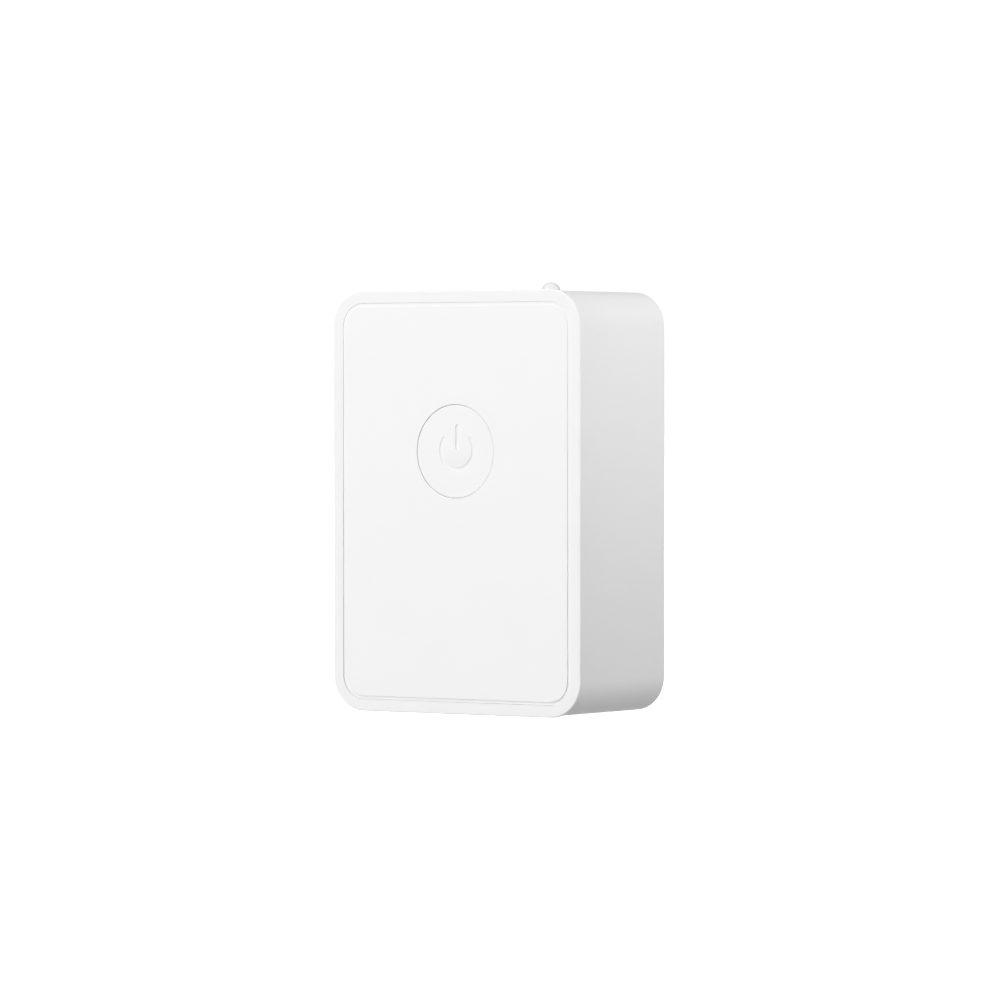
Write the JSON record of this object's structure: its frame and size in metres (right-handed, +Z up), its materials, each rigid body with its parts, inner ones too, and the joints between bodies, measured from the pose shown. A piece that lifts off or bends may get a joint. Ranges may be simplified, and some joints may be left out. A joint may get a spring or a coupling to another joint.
{
  "type": "smart plug",
  "caption": "Plug-through smart plug: white rounded box with push button on the front, light pipe on top, blades and earth pin behind, outlet below.",
  "frame": {"origin": "centre of the housing's flat bottom face", "axes": "+Z up along the box's height, the front with the button faces -Y and the blades point to +Y, +X to the right seen from the front"},
  "size_m": [0.0598, 0.0518, 0.0857],
  "materials": {
    "casing_white": "fine satin moulded texture",
    "panel_white": "smooth matte",
    "button_white": "smooth matte",
    "cover_white": "fine spark texture",
    "outlet_white": "semi-gloss",
    "inner_plastic": "plain moulded",
    "plunger_plastic": "plain moulded",
    "black_plastic": "plain moulded",
    "relay_shell": "semi-gloss",
    "clear_lens": "polished clear",
    "nickel_plate": "satin nickel plate",
    "brass_strip": "stamped strip",
    "copper_wire": "enamelled copper",
    "shunt_alloy": "bare alloy",
    "steel": "zinc plated",
    "tin_can": "tin plated",
    "soft_iron": "plain",
    "ferrite": "matte",
    "winding_tape": "yellow polyester tape",
    "capacitor_sleeve": "shrink sleeve",
    "film_box": "semi-gloss",
    "varistor_coat": "dipped coat",
    "fuse_glass": "clear",
    "led_resin": "clear resin",
    "circuit_board": "solder mask",
    "label_film": "blank satin film"
  },
  "bodies": {
    "plug_body": {"main_housing": "casing_white", "front_cover": "casing_white", "front_panel": "panel_white", "rear_cover": "cover_white", "cover_screws": "steel", "rating_label": "label_film", "button_guide": "inner_plastic", "guide_screws": "steel", "tact_switch_base": "black_plastic", "tact_switch_cover": "steel", "line_blade": "nickel_plate", "neutral_blade": "nickel_plate", "ground_pin": "nickel_plate", "blade_carrier": "inner_plastic", "outlet_face": "outlet_white", "line_holder": "inner_plastic", "neutral_holder": "inner_plastic", "earth_holder": "inner_plastic", "line_contact": "brass_strip", "neutral_contact": "brass_strip", "ground_contact": "brass_strip", "neutral_strap": "brass_strip", "line_in_strap": "brass_strip", "line_out_strap": "brass_strip", "earth_strap": "brass_strip", "main_board": "circuit_board", "board_screws": "steel", "relay_base": "black_plastic", "relay_case": "relay_shell", "relay_core": "soft_iron", "relay_coil": "copper_wire", "relay_fixed_contact": "brass_strip", "transformer_core": "ferrite", "transformer_winding": "winding_tape", "bulk_capacitor": "capacitor_sleeve", "output_capacitor": "capacitor_sleeve", "film_capacitor": "film_box", "varistor": "varistor_coat", "fuse": "fuse_glass", "filter_inductor": "ferrite", "bridge_rectifier": "black_plastic", "power_controller": "black_plastic", "meter_chip": "black_plastic", "current_shunt": "shunt_alloy", "wifi_board": "circuit_board", "wifi_shield": "tin_can", "status_led": "led_resin", "led_lens": "clear_lens"},
    "button": {"power_button": "button_white"},
    "switch_plunger": {"tact_switch_plunger": "plunger_plastic"},
    "relay_arm": {"relay_armature": "soft_iron", "relay_moving_contact": "copper_wire"}
  },
  "joints": [
    {"name": "button_press", "type": "slide", "parent": "plug_body", "child": "button", "axis": [0, 1, 0], "range_m": [0, 0.00035], "stiffness_N_per_m": 1500, "springref_m": -0.0003},
    {"name": "switch_plunger_slide", "type": "slide", "parent": "plug_body", "child": "switch_plunger", "axis": [0, 1, 0], "range_m": [0, 0.00035]},
    {"name": "relay_pull_in", "type": "hinge", "parent": "plug_body", "child": "relay_arm", "pos_m": [0.018, 0.00815, 0.0394], "axis": [1, 0, 0], "range_deg": [0, 3], "stiffness_Nm_per_rad": 0.002, "springref_deg": -11.46}
  ],
  "couplings": [
    {"joint": "switch_plunger_slide", "follows": "button_press", "ratio": 1}
  ]
}
